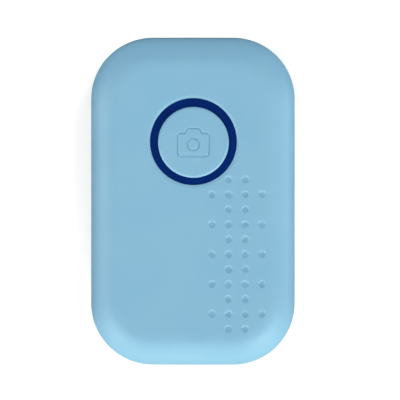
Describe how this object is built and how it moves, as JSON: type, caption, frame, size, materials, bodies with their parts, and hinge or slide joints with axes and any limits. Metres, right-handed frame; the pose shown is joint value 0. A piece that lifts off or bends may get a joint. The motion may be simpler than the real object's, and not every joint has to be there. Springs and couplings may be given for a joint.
{
  "type": "bluetooth tracker tag",
  "caption": "Rounded rectangular pocket tracker tag with a large round push button, a dimpled grip field, a sounder and a coin cell behind a twist-off door.",
  "frame": {"origin": "middle of the back face, on the surface that the tag lies on", "axes": "+Z out of the front face, +Y towards the button end, +X across the tag to the dimpled side"},
  "size_m": [0.033, 0.053, 0.0097],
  "materials": {
    "shell_plastic": "satin moulded ABS, pale blue",
    "trim_plastic": "smooth moulded polycarbonate, navy",
    "silicone": "moulded silicone, translucent white",
    "board_laminate": "glass-epoxy laminate under green solder mask",
    "chip_epoxy": "moulded black epoxy",
    "chip_ceramic": "fired ceramic with tinned ends",
    "piezo_ceramic": "fired piezo ceramic with a silvered face",
    "piezo_brass": "rolled brass sheet",
    "steel": "stamped and turned stainless steel",
    "zinc_steel": "zinc-plated steel",
    "nickel_contact": "nickel-plated phosphor bronze",
    "nickel_can": "nickel-plated sheet can",
    "led_lens": "clear epoxy over a white package",
    "black_plastic": "moulded black nylon",
    "cell_pellet": "pressed powder",
    "red_wire": "extruded PVC insulation",
    "black_wire": "extruded PVC insulation",
    "glue_ring": "cast adhesive"
  },
  "bodies": {
    "case": {"front_cover": "shell_plastic", "back_cover": "shell_plastic", "case_gasket": "silicone", "case_screw_1": "zinc_steel", "case_screw_2": "zinc_steel", "case_screw_3": "zinc_steel", "case_screw_4": "zinc_steel", "button_ring": "trim_plastic", "coin_cell_can": "steel", "coin_cell_cap": "steel", "coin_cell_gasket": "black_plastic", "coin_cell_pellet": "cell_pellet", "negative_contact": "nickel_contact", "positive_contact": "nickel_contact", "piezo_glue_ring": "glue_ring", "piezo_brass_disc": "piezo_brass", "piezo_ceramic_disc": "piezo_ceramic", "piezo_wire_red": "red_wire", "piezo_wire_black": "black_wire", "circuit_board": "board_laminate", "board_screw_1": "zinc_steel", "board_screw_2": "zinc_steel", "switch_base": "black_plastic", "switch_cover": "steel", "switch_dome": "steel", "radio_chip": "chip_epoxy", "memory_chip": "chip_epoxy", "main_crystal": "nickel_can", "clock_crystal": "nickel_can", "chip_antenna": "chip_ceramic", "status_led": "led_lens", "driver_transistor": "chip_epoxy", "boost_inductor": "chip_epoxy", "capacitor_1": "chip_ceramic", "capacitor_2": "chip_ceramic", "capacitor_3": "chip_ceramic", "capacitor_4": "chip_ceramic", "capacitor_5": "chip_ceramic", "resistor_1": "chip_epoxy", "resistor_2": "chip_epoxy", "resistor_3": "chip_epoxy"},
    "button": {"button_cap": "shell_plastic", "button_pad": "silicone"},
    "plunger": {"switch_plunger": "black_plastic"},
    "door": {"battery_door": "shell_plastic", "door_seal": "silicone"}
  },
  "joints": [
    {"name": "button_press", "type": "slide", "parent": "case", "child": "button", "axis": [0, 0, -1], "range_m": [0, 0.0002], "stiffness_N_per_m": 8000},
    {"name": "plunger_slide", "type": "slide", "parent": "case", "child": "plunger", "axis": [0, 0, -1], "range_m": [0, 0.0002]},
    {"name": "door_turn", "type": "hinge", "parent": "case", "child": "door", "pos_m": [0, -0.01, 0], "axis": [0, 0, -1], "range_deg": [0, 30]}
  ],
  "couplings": [
    {"joint": "plunger_slide", "follows": "button_press", "ratio": 1}
  ]
}
